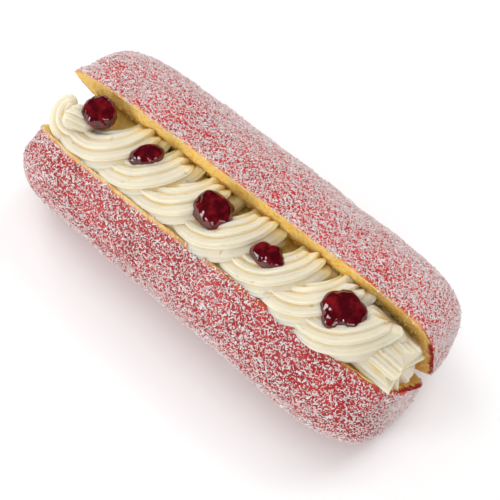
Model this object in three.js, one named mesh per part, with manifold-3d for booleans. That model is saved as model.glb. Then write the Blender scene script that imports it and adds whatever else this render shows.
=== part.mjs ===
// Lamington finger: a coconut-coated sponge log, slit along its top and filled with piped cream and jam.
// Millimetres, +Z up. X runs along the log, -Y is the low front lip, +Y the raised back lip.
import * as THREE from "three";
import { ParametricGeometry } from "three/addons/geometries/ParametricGeometry.js";
import { mergeGeometries, mergeVertices } from "three/addons/utils/BufferGeometryUtils.js";
import Module from "manifold-3d";

const wasm = await Module();
wasm.setup();

// Sponge log
const halfLength = 82.5;
const frontHalfWidth = 31.4;
const backHalfWidth = 28.5;
const centreHeight = 28.5;
const sectionPower = 2.1;
const endPowerTop = 4.8;
const endPowerBottom = 7;
const endPowerLeft = 12;
const endPowerRight = 5.5;
const endPowerHinge = 4.3;
const hingeRoundingFrom = 0.7;
const frontTaper = 0.085;
const backTaper = -0.03;
const restingFlat = 3.2;

// The left end is drawn in round the slit: depth, where it begins, and the share of the section it fades over
const drawnInDepth = 16;
const drawnInFrom = 40;
const drawnInFade = [0.15, 0.74];

// The right end is trimmed a little. At the left the front lip's corner and the back half's top are rounded
// off, each over a share of its half turn, less towards the middle of the end face and down the cut face
const roundFrom = 0.8;
const rightTrim = 0.9;
const leftFrontRound = 2.8;
const leftFrontFade = 0.26;
const leftBackRound = 1.4;
const leftBackFade = [0, 0.1, 0.4, 0.6];
const lipFade = 0.75;

// Slit: it leans to the front and stops short of the underside, where the uncut sponge is the hinge
const slitLean = THREE.MathUtils.degToRad(25);
const hingeDepth = 0.82;
const openFront = THREE.MathUtils.degToRad(12.6);
const openBack = THREE.MathUtils.degToRad(15.8);

// Steps of the log's surfaces
const middleSteps = 20;
const shoulderSteps = 2;
const endFaceSteps = 5;
const roundSteps = 18;
const cutFaceSteps = 5;

// Largest coconut slivers, half sunk in the coating
const sliverCount = 110;
const sliverLength = [2.2, 3.6];
const sliverWidth = 0.95;
const sliverThickness = 1.1;
const sliverProud = 0.1;
const sliverLowest = 4;
const sliverEndMargin = 9;
const bareRim = 5;

// Piped cream: one star-nozzle strand laid in overlapping shells from the right end to the left
const gap = 0.35;
const shellCentres = [-58, -41.5, -25.5, -5, 16, 32.5, 47.5];
const shellStart = -38;
const shellEnd = 90;
const lastShellEnd = 81;
const shellFrontLine = -8.6;
const shellBend = 19.5;
const shellHeight = 44.6;
const shellRise = 0.22;
const shellLift = 0.02;
const shellBackDrop = 7;
const shellBackFrom = 38;
const shellStartDrop = 3;
const shellTaper = [0.14, 0.05];
const shellSteps = 9;
const strandRadius = 8.3;
const strandTeeth = 12;
const grooveDepth = 0.14;

// Last shell, curled round the left end and thinner where the nozzle was pulled off
const curlCentre = new THREE.Vector3(-64.8, -1.6, 42.5);
const curlBend = 3.8;
const curlStart = 60;
const curlEnd = -150;
const curlRise = 8;
const curlRiseFrom = 0.3;
const curlThin = 0.5;
const curlThinFrom = 0.35;
const curlSteps = 11;
const curlEye = 0.5;

// Fold of cream between the curl and the first jam dot
const foldStart = new THREE.Vector3(-67.5, -2.5, 51);
const foldEnd = new THREE.Vector3(-56, 0.5, 46);
const foldSize = 0.62;
const foldTaper = 0.3;
const foldSteps = 6;

// Lower strand at the right end, and the filling under the shells, lower at the back than at the front
const tailStart = 50;
const tailEnd = 81;
const tailAcross = [-1.2, -3.2];
const tailHeight = 40.5;
const tailFall = 3;
const tailSize = 1.3;
const tailTaper = 0.09;
const tailSteps = 8;
const tailFingers = 6;
const tailPoint = 2.8;
const tailTip = 0.92;
const tailTipFrom = 0.5;
const coreFoot = 3;
const coreTopFront = 46;
const coreTopBack = 40;
const coreEnds = [-64, 64];
const creamLimit = 70;

// Jam dots: place along and across the slit, height over the hinge, half sizes, and turn in degrees from
// along to across
const jamDots = [
  { along: -57.3, across: 4.5, height: 51.5, half: [6.3, 5.8, 4.4], turn: 0 },
  { along: -33.4, across: 2.2, height: 51.6, half: [6.1, 3.9, 3.3], turn: 48 },
  { along: -2.4, across: 1.2, height: 52, half: [7.1, 6.2, 4.8], turn: 0 },
  { along: 23.4, across: 0.2, height: 53.2, half: [5.6, 4.4, 3.8], turn: 0 },
  { along: 54.2, across: 0.8, height: 53, half: [7.6, 6.4, 4.8], turn: 0 },
];

// Lobes of each dot's outline, as [direction in degrees, amount]
const jamLobes = [
  [[120, 0.05]],
  [[-126, 0.1]],
  [[-53, 0.14], [0, 0.07], [36, 0.06]],
  [[-153, 0.2], [-3, 0.08], [78, 0.08]],
  [[-90, 0.27], [-54, -0.18], [-24, 0.12], [36, 0.14]],
];
const lobeWidth = THREE.MathUtils.degToRad(26);
const jamRoundSteps = 18;
const jamHeightSteps = 9;

// Shift that puts the part's box over the origin
const boxShift = new THREE.Vector3(0.265, 1.5, 0);

// Points nearer than this are one point
const mergeTolerance = 1e-3;

const mouth = new THREE.Vector2(-Math.sin(slitLean), Math.cos(slitLean));

// Repeatable random numbers from 0 to 1, by a linear congruence
function randomFrom(seed) {
  const factor = 1664525;
  const increment = 1013904223;
  const modulus = 2 ** 32;
  let state = seed;
  return () => {
    state = (state * factor + increment) % modulus;
    return state / modulus;
  };
}

// Radius of the closed log's rounded section in the direction phi, measured from +Y towards +Z
function sectionRadius(phi) {
  const c = Math.cos(phi);
  const width = c < 0 ? frontHalfWidth : backHalfWidth;
  const sum = Math.abs(c / width) ** sectionPower + Math.abs(Math.sin(phi) / centreHeight) ** sectionPower;
  return sum ** (-1 / sectionPower);
}

// The front half is squarer low at its left end, the back half rounder at its right end
function lowEndPower(x, side) {
  if (x < 0 && side > 0) return endPowerLeft;
  if (x > 0 && side < 0) return endPowerRight;
  return endPowerBottom;
}

// How far the log still reaches at x, from 1 at the middle to 0 at the end, turned by share round one half,
// which is 0 at the slit's lip and 1 at the underside: squarer low on the sides, rounder again at the hinge
function reach(x, share, side) {
  const low = 0.5 - 0.5 * Math.cos(share * Math.PI);
  const atHinge = THREE.MathUtils.smoothstep(share, hingeRoundingFrom, 1);
  const bottom = lowEndPower(x, side);
  const power = THREE.MathUtils.lerp(endPowerTop, bottom, low) - (bottom - endPowerHinge) * atHinge;
  return Math.max(0, 1 - Math.abs(x / halfLength) ** power) ** (1 / power);
}

// How far a point near an end is moved inwards: at the left by its distance from the log's axis, as a share
// of the section
function drawnIn(x, fromAxis) {
  const nearLeft = THREE.MathUtils.smoothstep(-x, drawnInFrom, halfLength);
  const nearRight = THREE.MathUtils.smoothstep(x, drawnInFrom, halfLength);
  const hollow = drawnInDepth * (1 - THREE.MathUtils.smoothstep(fromAxis, ...drawnInFade));
  return hollow * nearLeft - rightTrim * nearRight;
}

// How far the left end is rounded off: at the front half's lip, and high on the back half
function leftRound(x, share, side) {
  const fromAxis = THREE.MathUtils.smoothstep(reach(x, share, side), 0, roundFrom);
  const nearLeft = fromAxis * THREE.MathUtils.smoothstep(-x, drawnInFrom, halfLength);
  if (side > 0) {
    return leftFrontRound * nearLeft * (1 - THREE.MathUtils.smoothstep(share, 0, leftFrontFade));
  }
  const [from, full, fading, gone] = leftBackFade;
  const rising = THREE.MathUtils.smoothstep(share, from, full);
  const falling = THREE.MathUtils.smoothstep(share, fading, gone);
  return leftBackRound * nearLeft * (rising - falling);
}

const mouthAngle = Math.PI / 2 + slitLean;
const mouthRadius = sectionRadius(mouthAngle);
const footRadius = sectionRadius(mouthAngle + Math.PI);
const hinge = new THREE.Vector2(0, centreHeight).addScaledVector(mouth, -footRadius * hingeDepth);
const hingeEnd = halfLength * (1 - hingeDepth ** endPowerHinge) ** (1 / endPowerHinge);

// Turns a point of the closed log about the hinge, so that the slit opens and the underside stays
function opened(x, y, z, side) {
  const fromHinge = new THREE.Vector2(y, z).sub(hinge);
  const radius = fromHinge.length();
  const angle = Math.abs(Math.atan2(mouth.cross(fromHinge), mouth.dot(fromHinge)));
  const opening = side > 0 ? openFront : openBack;
  const turned = side * (opening + angle * (1 - opening / Math.PI));
  const c = Math.cos(turned);
  const s = Math.sin(turned);
  const newY = hinge.x + radius * (mouth.x * c - mouth.y * s);
  const newZ = hinge.y + radius * (mouth.y * c + mouth.x * s);
  return new THREE.Vector3(x, newY, Math.max(newZ - restingFlat, 0));
}

// Point of the coated skin at x, turned by share round one half
function skinPoint(x, share, side) {
  const phi = mouthAngle + side * share * Math.PI;
  const fromAxis = reach(x, share, side);
  const radius = fromAxis * sectionRadius(phi);
  const z = centreHeight + radius * Math.sin(phi);
  const planeY = -(z - centreHeight) * Math.tan(slitLean);
  const taper = 1 + ((side > 0 ? frontTaper : backTaper) * x) / halfLength;
  const y = planeY + (radius * Math.cos(phi) - planeY) * taper;
  return opened(x + drawnIn(x, fromAxis) + leftRound(x, share, side), y, z, side);
}

// Point of a cut face, from the hinge (or, past its end, the underside's edge) up to the lip
function cutPoint(x, share, side) {
  const lowest = Math.abs(x) < hingeEnd ? hingeDepth : reach(x, 1, side);
  const up = THREE.MathUtils.lerp(-lowest * footRadius, reach(x, 0, side) * mouthRadius, share);
  const fromAxis = up < 0 ? -up / footRadius : up / mouthRadius;
  const atLip = leftRound(x, 0, side) * THREE.MathUtils.smoothstep(share, lipFade, 1);
  return opened(x + drawnIn(x, fromAxis) + atLip, mouth.x * up, centreHeight + mouth.y * up, side);
}

// Stations along the log: even in the middle, closer over the rounded shoulders and the end faces
const endSteps = shoulderSteps + endFaceSteps;
const lengthSteps = middleSteps + 2 * endSteps;
const stationPower = 3;
const shoulderAngle = Math.PI / 6;
const hingeEndAngle = Math.asin((hingeEnd / halfLength) ** stationPower);

function stationX(index) {
  const fromEnd = Math.min(index, lengthSteps - index);
  const sign = index * 2 < lengthSteps ? -1 : 1;
  const shoulder = halfLength * Math.sin(shoulderAngle) ** (1 / stationPower);
  if (fromEnd >= endSteps) {
    return THREE.MathUtils.mapLinear(index, endSteps, lengthSteps - endSteps, -shoulder, shoulder);
  }
  if (fromEnd === endFaceSteps) {
    return sign * hingeEnd;
  }
  const angle = fromEnd < endFaceSteps
    ? THREE.MathUtils.mapLinear(fromEnd, 0, endFaceSteps, Math.PI / 2, hingeEndAngle)
    : THREE.MathUtils.mapLinear(fromEnd, endFaceSteps, endSteps, hingeEndAngle, shoulderAngle);
  return sign * halfLength * Math.sin(angle) ** (1 / stationPower);
}

// Closed solid from patches whose edges meet: shared points are merged and flat slivers dropped
function solidFrom(patches) {
  patches.forEach((patch) => {
    patch.deleteAttribute("normal");
    patch.deleteAttribute("uv");
  });
  const merged = mergeVertices(mergeGeometries(patches), mergeTolerance);
  const index = merged.index.array;
  const kept = [];
  for (let i = 0; i < index.length; i += 3) {
    const [a, b, c] = [index[i], index[i + 1], index[i + 2]];
    if (a !== b && b !== c && c !== a) kept.push(a, b, c);
  }
  return new wasm.Manifold(new wasm.Mesh({
    numProp: 3,
    vertProperties: new Float32Array(merged.attributes.position.array),
    triVerts: new Uint32Array(kept),
  }));
}

function meshFrom(solid, name, material) {
  const { vertProperties, triVerts } = solid.getMesh();
  const geometry = new THREE.BufferGeometry();
  geometry.setAttribute("position", new THREE.BufferAttribute(new Float32Array(vertProperties), 3));
  geometry.setIndex(new THREE.BufferAttribute(new Uint32Array(triVerts), 1));
  geometry.computeVertexNormals();
  const mesh = new THREE.Mesh(geometry, material);
  mesh.name = name;
  return mesh;
}

// Patch of the log over all stations, run so that its faces point outwards on either half
function logPatch(pointAt, side, steps) {
  const surface = (u, v, target) => {
    const along = side > 0 ? 1 - u : u;
    target.copy(pointAt(stationX(Math.round(along * lengthSteps)), v, side));
  };
  return new ParametricGeometry(surface, lengthSteps, steps);
}

function bareLog() {
  const patches = [1, -1].flatMap((side) => [
    logPatch(skinPoint, side, roundSteps),
    logPatch(cutPoint, side, cutFaceSteps),
  ]);
  return solidFrom(patches);
}

// One coconut sliver lying on the skin, turned at random in the skin's own plane
function sliver(x, share, side, length, turn) {
  const stepAlong = 0.5;
  const stepRound = 0.01;
  const at = skinPoint(x, share, side);
  const along = skinPoint(x + stepAlong, share, side).sub(at).normalize();
  const round = skinPoint(x, share + stepRound, side).sub(at);
  const normal = new THREE.Vector3().crossVectors(along, round).multiplyScalar(side).normalize();
  const across = new THREE.Vector3().crossVectors(normal, along).normalize();
  const frame = new THREE.Matrix4().makeBasis(along, across, normal);
  frame.multiply(new THREE.Matrix4().makeRotationZ(turn));
  frame.setPosition(at.addScaledVector(normal, sliverProud));
  return solidFrom([new THREE.BoxGeometry(length, sliverWidth, sliverThickness).applyMatrix4(frame)]);
}

// Spread by two irrational steps, so that the slivers fall evenly over both halves, clear of the underside
function coatedLog() {
  const random = randomFrom(7);
  const stepAlong = 0.7548776662;
  const stepRound = 0.5698402910;
  const usableLength = halfLength - sliverEndMargin;
  const firstShare = bareRim / (Math.PI * centreHeight);
  let coated = bareLog();
  let placed = 0;
  for (let i = 0; placed < sliverCount; i += 1) {
    const side = i % 2 === 0 ? 1 : -1;
    const x = usableLength * (2 * ((0.5 + i * stepAlong) % 1) - 1);
    const share = THREE.MathUtils.lerp(firstShare, 1, (0.5 + i * stepRound) % 1);
    const length = THREE.MathUtils.lerp(sliverLength[0], sliverLength[1], random());
    const turn = random() * Math.PI;
    if (skinPoint(x, share, side).z > sliverLowest) {
      coated = coated.add(sliver(x, share, side, length, turn));
      placed += 1;
    }
  }
  return coated;
}

// Axes of the open slit: up its middle from the hinge, and across it towards the back
const slitMiddle = (openBack - openFront) / 2;
const slitHalfAngle = (openBack + openFront) / 2;
const upSlit = mouth.clone().rotateAround(new THREE.Vector2(), -slitMiddle);
const acrossSlit = new THREE.Vector2(upSlit.y, -upSlit.x);

function inSlit(along, across, height) {
  const y = hinge.x + upSlit.x * height + acrossSlit.x * across;
  const z = hinge.y + upSlit.y * height + acrossSlit.y * across - restingFlat;
  return new THREE.Vector3(along, y, z);
}

// Star-nozzle strand carried along a path of {at, out, up, size}: out and up span its section, square to the
// path, and its teeth are rounded with sharp grooves between them.
// In a bend tighter than the strand its inner side is pressed flat at the given depth.
function strand(pathAt, steps, inner = Infinity) {
  const surface = (u, v, target) => {
    const angle = v * 2 * Math.PI;
    const { at, out, up, size } = pathAt(u, angle);
    const crest = Math.abs(Math.cos((strandTeeth * angle) / 2));
    const radius = size * (1 - grooveDepth * (1 - crest));
    at.addScaledVector(out, Math.max(radius * Math.cos(angle), -inner));
    at.addScaledVector(up, radius * Math.sin(angle));
    target.copy(inSlit(at.x, at.y, at.z));
  };
  return solidFrom([new ParametricGeometry(surface, steps, 2 * strandTeeth)]);
}

// Full in the middle of the strand, closing to a point over a share of its length at either end
function endTaper(u, startShare, endShare) {
  const nearest = Math.min(u / startShare, (1 - u) / endShare, 1);
  return Math.sqrt(Math.max(0, 1 - (1 - nearest) ** 2));
}

// One piped shell: an arc that starts under its left neighbour, follows the front lip and turns to the back
function shell(centre, end) {
  const arcStart = THREE.MathUtils.degToRad(shellStart);
  const arcEnd = THREE.MathUtils.degToRad(end);
  return strand((u) => {
    const turn = THREE.MathUtils.lerp(arcStart, arcEnd, u);
    const along = shellBend * Math.sin(turn);
    const across = shellFrontLine + shellBend * (1 - Math.cos(turn));
    const back = THREE.MathUtils.smoothstep(THREE.MathUtils.radToDeg(turn), shellBackFrom, shellEnd);
    const hidden = THREE.MathUtils.smoothstep(-turn, 0, -arcStart);
    const climbing = shellHeight + shellRise * along + shellLift * centre;
    const height = climbing - shellBackDrop * back - shellStartDrop * hidden;
    return {
      at: new THREE.Vector3(centre + along, across, height),
      out: new THREE.Vector3(Math.sin(turn), -Math.cos(turn), 0),
      up: new THREE.Vector3(0, 0, 1),
      size: strandRadius * endTaper(u, ...shellTaper),
    };
  }, shellSteps);
}

// Last shell: a tight arc round the left end that climbs and thins to where the nozzle was pulled off
function curl() {
  const arcStart = THREE.MathUtils.degToRad(curlStart);
  const arcEnd = THREE.MathUtils.degToRad(curlEnd);
  return strand((u) => {
    const turn = THREE.MathUtils.lerp(arcStart, arcEnd, u);
    const out = new THREE.Vector3(Math.sin(turn), -Math.cos(turn), 0);
    const at = curlCentre.clone().addScaledVector(out, curlBend);
    at.z += curlRise * THREE.MathUtils.smoothstep(u, curlRiseFrom, 1);
    const thin = 1 - (1 - curlThin) * THREE.MathUtils.smoothstep(u, curlThinFrom, 1);
    const size = strandRadius * thin * endTaper(u, shellTaper[0], shellTaper[0]);
    return { at, out, up: new THREE.Vector3(0, 0, -1), size };
  }, curlSteps, curlBend - curlEye);
}

// Short strand that runs from the curl's peak in under the first jam dot
function fold() {
  return strand((u) => ({
    at: foldStart.clone().lerp(foldEnd, u),
    out: new THREE.Vector3(0, -1, 0),
    up: new THREE.Vector3(0, 0, 1),
    size: strandRadius * foldSize * endTaper(u, foldTaper, foldTaper),
  }), foldSteps);
}

// Lower strand that runs out along the slit at the right end and ends in blunt fingers
function tail() {
  const lastRing = 1 - 1 / tailSteps;
  return strand((u, angle) => {
    const nearEnd = THREE.MathUtils.smoothstep(u, tailTipFrom, lastRing);
    const finger = u < 1 ? Math.abs(Math.sin((tailFingers * angle) / 2)) : 0;
    const drawnBack = tailPoint * (1 - finger) * nearEnd;
    const along = THREE.MathUtils.lerp(tailStart, tailEnd, Math.min(u / lastRing, 1)) - drawnBack;
    const across = THREE.MathUtils.lerp(...tailAcross, u);
    const tip = THREE.MathUtils.lerp(1, tailTip, nearEnd);
    return {
      at: new THREE.Vector3(along, across, tailHeight - tailFall * u * u),
      out: new THREE.Vector3(0, -1, 0),
      up: new THREE.Vector3(0, 0, 1),
      size: strandRadius * tailSize * tip * endTaper(u, tailTaper, tailTaper),
    };
  }, tailSteps);
}

// Wedge that keeps the cream a small gap off both cut faces; it fills the slit from its foot up to either top
function wedge(ends, frontTop, backTop) {
  const clearance = gap / Math.cos(slitHalfAngle);
  const halfAt = (height) => height * Math.tan(slitHalfAngle) - clearance;
  const outline = new THREE.Shape([
    new THREE.Vector2(-halfAt(coreFoot), coreFoot),
    new THREE.Vector2(halfAt(coreFoot), coreFoot),
    new THREE.Vector2(halfAt(backTop), backTop),
    new THREE.Vector2(-halfAt(frontTop), frontTop),
  ]);
  const geometry = new THREE.ExtrudeGeometry(outline, { depth: ends[1] - ends[0], bevelEnabled: false });
  const position = geometry.attributes.position;
  for (let i = 0; i < position.count; i += 1) {
    const point = inSlit(ends[0] + position.getZ(i), position.getX(i), position.getY(i));
    position.setXYZ(i, point.x, point.y, point.z);
  }
  return solidFrom([geometry]);
}

// Outline of a jam dot in one direction: 1 plus a rounded bump at each lobe
function jamOutline(direction, lobes) {
  return lobes.reduce((outline, [lobe, amount]) => {
    const apart = direction - THREE.MathUtils.degToRad(lobe) + Math.PI;
    const nearest = THREE.MathUtils.euclideanModulo(apart, 2 * Math.PI) - Math.PI;
    return outline + amount * Math.exp(-((nearest / lobeWidth) ** 2));
  }, 1);
}

// Lobed dot of jam, grown by extra where it is pressed into the cream
function jamDot({ along, across, height, half, turn }, lobes, extra) {
  const rotation = THREE.MathUtils.degToRad(turn);
  const centre = new THREE.Vector2(along, across);
  const surface = (u, v, target) => {
    const angle = u * 2 * Math.PI;
    const tilt = v * Math.PI;
    const ring = Math.sin(tilt) * jamOutline(angle + rotation, lobes);
    const place = new THREE.Vector2((half[0] + extra) * Math.cos(angle), (half[1] + extra) * Math.sin(angle));
    place.multiplyScalar(ring).add(centre).rotateAround(centre, rotation);
    target.copy(inSlit(place.x, place.y, height - (half[2] + extra) * Math.cos(tilt)));
  };
  return solidFrom([new ParametricGeometry(surface, jamRoundSteps, jamHeightSteps)]);
}

// Outer shell of a joined solid: hollows sealed inside it are filled, and loose scraps dropped
function outerShell(solid) {
  const shells = solid.decompose();
  return shells.reduce((largest, one) => (one.volume() > largest.volume() ? one : largest));
}

function cream() {
  let filling = wedge(coreEnds, coreTopFront, coreTopBack).add(tail()).add(curl()).add(fold());
  shellCentres.forEach((centre, i) => {
    filling = filling.add(shell(centre, i < shellCentres.length - 1 ? shellEnd : lastShellEnd));
  });
  filling = filling.intersect(wedge([-halfLength, halfLength], creamLimit, creamLimit));
  jamDots.forEach((dot, i) => { filling = filling.subtract(jamDot(dot, jamLobes[i], gap)); });
  return outerShell(filling);
}

const spongeMaterial = new THREE.MeshStandardMaterial({ color: 0xd98f92, roughness: 0.85, metalness: 0 });
const creamMaterial = new THREE.MeshStandardMaterial({ color: 0xf3e7c4, roughness: 0.5, metalness: 0 });
const jamMaterial = new THREE.MeshStandardMaterial({ color: 0x5a0d14, roughness: 0.15, metalness: 0 });

const lamington = new THREE.Group();
lamington.position.copy(boxShift);
lamington.add(meshFrom(coatedLog(), "sponge", spongeMaterial));
lamington.add(meshFrom(cream(), "cream", creamMaterial));
jamDots.forEach((dot, i) => {
  lamington.add(meshFrom(jamDot(dot, jamLobes[i], 0), `jam_${i + 1}`, jamMaterial));
});

export default lamington;
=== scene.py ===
import math

import bmesh
import bpy
import numpy as np
from bpy.props import FloatProperty, FloatVectorProperty, IntProperty, PointerProperty
from bpy.types import Operator, Panel, PropertyGroup
from mathutils import Matrix


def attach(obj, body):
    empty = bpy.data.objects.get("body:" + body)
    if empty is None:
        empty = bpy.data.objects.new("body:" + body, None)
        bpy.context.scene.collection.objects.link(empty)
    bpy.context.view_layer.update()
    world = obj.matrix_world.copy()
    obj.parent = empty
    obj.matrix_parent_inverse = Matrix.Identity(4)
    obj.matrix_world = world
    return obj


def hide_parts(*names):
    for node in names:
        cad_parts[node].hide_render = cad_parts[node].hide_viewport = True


bl_info = {
    "name": "Lamington Finger",
    "version": (1, 0, 0),
    "blender": (4, 5, 0),
    "location": "3D View > Sidebar > Lamington",
    "description": "Coconut-coated sponge log, slit and filled with piped cream and jam",
    "category": "Add Mesh",
}

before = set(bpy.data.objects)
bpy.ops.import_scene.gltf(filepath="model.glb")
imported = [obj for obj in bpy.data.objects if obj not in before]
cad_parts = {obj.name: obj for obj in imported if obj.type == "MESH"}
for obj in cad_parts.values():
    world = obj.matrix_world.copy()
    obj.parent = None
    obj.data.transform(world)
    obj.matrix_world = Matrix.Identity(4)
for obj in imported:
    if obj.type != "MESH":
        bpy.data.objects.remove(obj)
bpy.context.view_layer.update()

SPONGE_PIECE = "sponge_log"
# Each dot: place along, across and over the slit, half sizes, turn in degrees, lobes as angle and share
JAM_DOTS = {
    "jam_1": {"place": (-0.0573, 0.0045, 0.0515), "half": (0.0063, 0.0058, 0.0044), "turn": 0,
              "lobes": ((120, 0.05),)},
    "jam_2": {"place": (-0.0334, 0.0022, 0.0516), "half": (0.0061, 0.0039, 0.0033), "turn": 48,
              "lobes": ((-126, 0.1),)},
    "jam_3": {"place": (-0.0024, 0.0012, 0.0520), "half": (0.0071, 0.0062, 0.0048), "turn": 0,
              "lobes": ((-53, 0.14), (0, 0.07), (36, 0.06))},
    "jam_4": {"place": (0.0234, 0.0002, 0.0532), "half": (0.0056, 0.0044, 0.0038), "turn": 0,
              "lobes": ((-153, 0.2), (-3, 0.08), (78, 0.08))},
    "jam_5": {"place": (0.0542, 0.0008, 0.0530), "half": (0.0076, 0.0064, 0.0048), "turn": 0,
              "lobes": ((-90, 0.27), (-54, -0.18), (-24, 0.12), (36, 0.14))},
}
FRONT, BACK = 1, -1
SKIN_SLOT, CRUMB_SLOT = 0, 1


# Settings

def length(name, description, default):
    """Setting in metres."""
    return FloatProperty(name=name, description=description, default=default, unit="LENGTH", precision=5)


def angle(name, description, degrees):
    """Setting in radians, with its default given in degrees."""
    return FloatProperty(name=name, description=description, default=math.radians(degrees), subtype="ANGLE")


def factor(name, description, default):
    """Setting without a unit."""
    return FloatProperty(name=name, description=description, default=default)


def count(name, description, default):
    """Setting of a whole number, one or more."""
    return IntProperty(name=name, description=description, default=default, min=1)


def colour(name, description, default):
    """Setting of a red, green and blue share."""
    return FloatVectorProperty(name=name, description=description, default=default, subtype="COLOR",
                               min=0, max=1)


class LamingtonLog(PropertyGroup):
    """Sizes and colours of the slit sponge log"""
    half_length: length("Half length", "Middle to the square end, before the left end is drawn in", 0.0825)
    front_half_width: length("Front half width", "Middle to the front, before the slit opens", 0.0314)
    back_half_width: length("Back half width", "Middle to the back, before the slit opens", 0.0285)
    centre_height: length("Centre height", "Middle of the section above its lowest point", 0.0285)
    section_power: factor("Section power", "2 is an ellipse, more is squarer", 2.1)
    end_power_top: factor("End power, top", "How square the ends are at the slit", 4.8)
    end_power_bottom: factor("End power, bottom", "How square the ends are low on the sides", 7.0)
    end_power_left: factor("End power, low left", "How square the front half is low at the left end", 12.0)
    end_power_right: factor("End power, low right", "How square the back half is low at the right end", 5.5)
    end_power_hinge: factor("End power, hinge", "How square the ends are at the hinge", 4.3)
    hinge_rounding: factor("Hinge rounding", "Share of the half turn where the ends turn rounder", 0.7)
    drawn_in_depth: length("Drawn-in depth", "Hollow of the left end round the slit", 0.016)
    drawn_in_from: length("Drawn in from", "Where the hollow begins, left of the middle", 0.040)
    drawn_in_inner: factor("Drawn-in inside", "Share of the section that is drawn in fully", 0.15)
    drawn_in_outer: factor("Drawn-in outside", "Share of the section where the hollow ends", 0.74)
    right_trim: length("Right trim", "How much shorter the right end is", 0.0009)
    left_front_round: length("Left front round", "Rounding of the front lip's left corner", 0.0028)
    left_back_round: length("Left back round", "Rounding of the back half's left end", 0.0014)
    front_taper: factor("Front taper", "Share by which the front half widens to the right", 0.085)
    back_taper: factor("Back taper", "Share by which the back half widens to the right", -0.03)
    resting_flat: length("Resting flat", "Depth pressed flat by the log's own weight", 0.0032)
    box_shift: FloatVectorProperty(
        name="Shift", description="Puts the whole over the origin, along and across", size=2, unit="LENGTH",
        default=(0.000265, 0.0015))
    slit_lean: angle("Slit lean", "Lean of the closed slit to the front", 25)
    hinge_depth: factor("Hinge depth", "Share of the lower radius that the slit cuts", 0.82)
    open_front: angle("Front opening", "Turn of the front half", 12.6)
    open_back: angle("Back opening", "Turn of the back half", 15.8)
    coconut_room: length("Coconut room", "Depth of the coating under the coconut's outline", 0.0004)
    coconut_bed: length("Coconut bed", "Height of the underside on its pressed coconut", 0.0002)
    lump_height: length("Lump height", "Unevenness of the coating", 0.0006)
    torn_end: factor("Torn end", "How much more uneven the lips are at the right end", 2.6)
    crumb_bulge: length("Crumb bulge", "How far the back cut face swells under its lip", 0.0012)
    crumb_depth: length("Crumb depth", "Depth of the pores in the cut faces", 0.0005)
    crumb_count: count("Loose crumbs", "Crumbs that cling to the cut faces", 1600)
    crumb_size: length("Crumb size", "Middle size of a loose crumb", 0.0006)
    syrup_red: colour("Syrup red", "Wet coating between the coconut", (0.61, 0.046, 0.046))
    # Deeper red: soaked patches, painted shade on the front half, and the ends' coated edges
    syrup_deep: colour("Deep syrup", "Coating where it has soaked in", (0.33, 0.007, 0.009))
    syrup_orange: colour("Thin syrup", "Thin coating over the sponge", (0.60, 0.12, 0.05))
    crumb_gold: colour("Crumb", "Cut sponge", (0.91, 0.62, 0.19))
    crumb_shade: colour("Crumb pores", "Pores of the cut sponge", (0.88, 0.46, 0.04))
    # Painted shade: deeper, more saturated crumb deep in the slit
    crumb_slit_shade: colour("Deep crumb", "Sponge deep in the slit", (0.97, 0.46, 0.02))


class LamingtonCoconut(PropertyGroup):
    """Counts, sizes and colours of the desiccated coconut"""
    shred_count: count("Shreds", "Long bent shreds", 4500)
    shred_length: length("Shred length", "Middle length of a shred", 0.0015)
    shred_width: length("Shred width", "Middle width of a shred", 0.0004)
    chip_count: count("Chips", "Short flat chips", 14000)
    chip_length: length("Chip length", "Middle length of a chip", 0.00095)
    chip_width: length("Chip width", "Middle width of a chip", 0.00042)
    grain_count: count("Grains", "Small grains", 24000)
    grain_length: length("Grain length", "Middle length of a grain", 0.0007)
    grain_width: length("Grain width", "Middle width of a grain", 0.00044)
    fleck_count: count("Flecks", "Fine flecks", 24000)
    fleck_length: length("Fleck length", "Middle length of a fleck", 0.00055)
    fleck_width: length("Fleck width", "Middle width of a fleck", 0.00042)
    speck_count: count("Specks", "Finest crumbled coconut", 24000)
    speck_length: length("Speck length", "Middle length of a speck", 0.00048)
    speck_width: length("Speck width", "Middle width of a speck", 0.0004)
    thickness: length("Thickness", "Middle thickness", 0.00028)
    tilt: angle("Tilt", "Usual slope against the coating", 16)
    bare_rim: length("Bare rim", "Distance from the lips where the coconut sets in", -0.0004)
    full_rim: length("Full from", "Distance from the lips where the coconut is full", 0.0013)
    front_thinning: factor("Front thinning", "Share by which the front half carries less", 0.4)
    end_rim: length("End rim", "Wider bare strip along the lips at the right end", 0.0008)
    white: colour("White", "Dry coconut", (0.77, 0.755, 0.745))
    pink: colour("Pink", "Coconut that has drawn up syrup", (0.70, 0.36, 0.355))


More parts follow.
